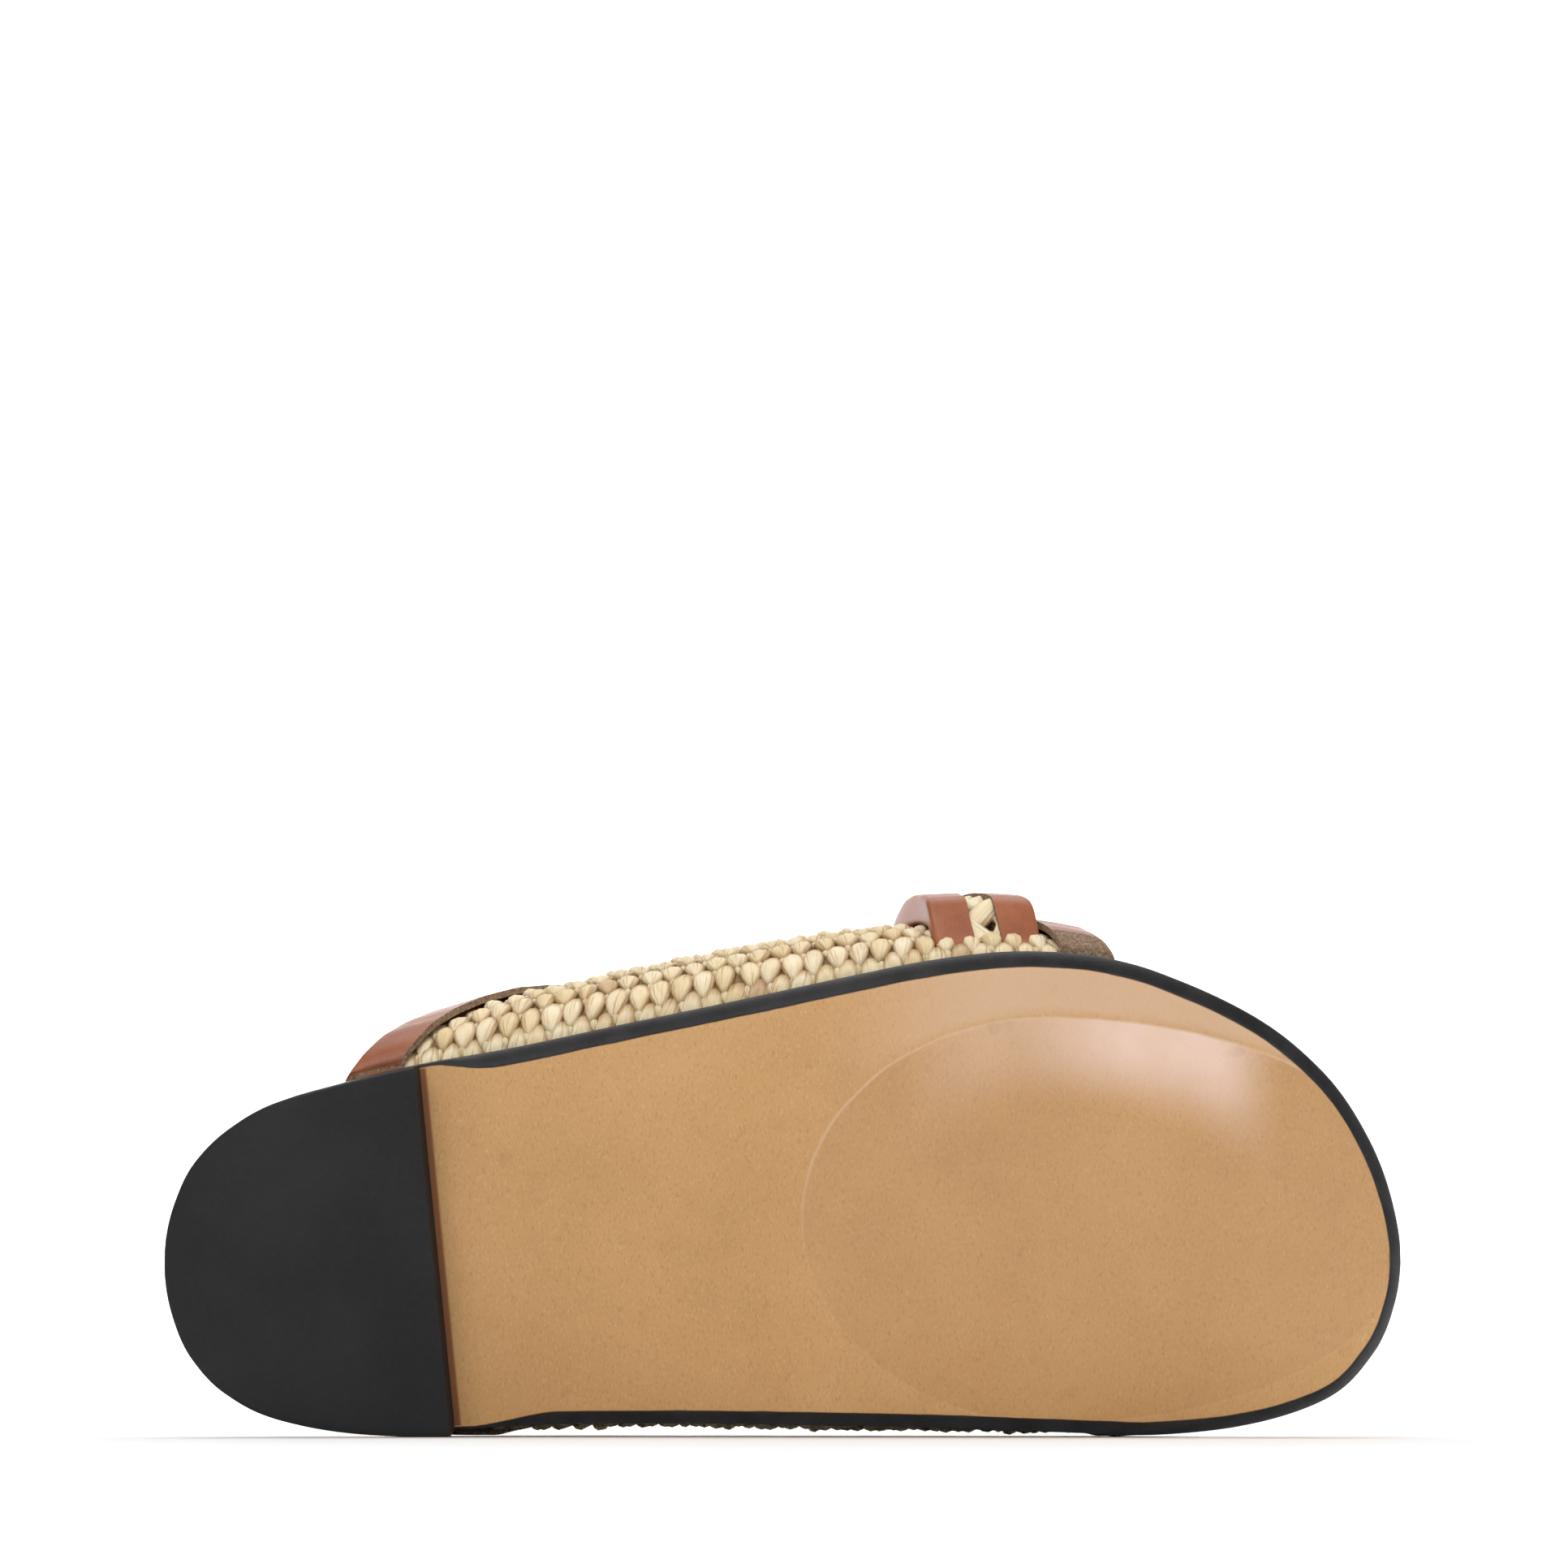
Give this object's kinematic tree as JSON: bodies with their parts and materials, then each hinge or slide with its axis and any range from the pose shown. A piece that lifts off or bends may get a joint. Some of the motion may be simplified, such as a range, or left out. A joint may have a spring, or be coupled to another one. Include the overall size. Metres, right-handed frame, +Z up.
{
  "type": "raffia slipper",
  "caption": "Right crocheted raffia slide slipper with open toe and heel, leather bindings, a cross strap and a leather sole, lying on its side.",
  "frame": {"origin": "centre of the bottom face of the bounding box, on the floor that the shoe lies on", "axes": "+X from the heel to the toe, +Z up from the floor, the sole faces -Y and leans a little down, the lateral side is up and the medial side is down"},
  "size_m": [0.245, 0.0898, 0.1108],
  "materials": {
    "sole_leather": "smooth vegetable-tanned leather with a black painted bevel, glossy film over the forefoot",
    "heel_rubber": "matte black",
    "insole_leather": "satin",
    "raffia": "crocheted natural raffia",
    "binding_leather": "satin with raw cut edges"
  },
  "bodies": {
    "root": {"outsole": "sole_leather", "heel": "heel_rubber", "insole": "insole_leather", "upper": "raffia", "binding_rear": "binding_leather", "binding_front": "binding_leather", "strap": "raffia", "strap_binding_rear": "binding_leather", "strap_binding_front": "binding_leather"}
  },
  "joints": []
}
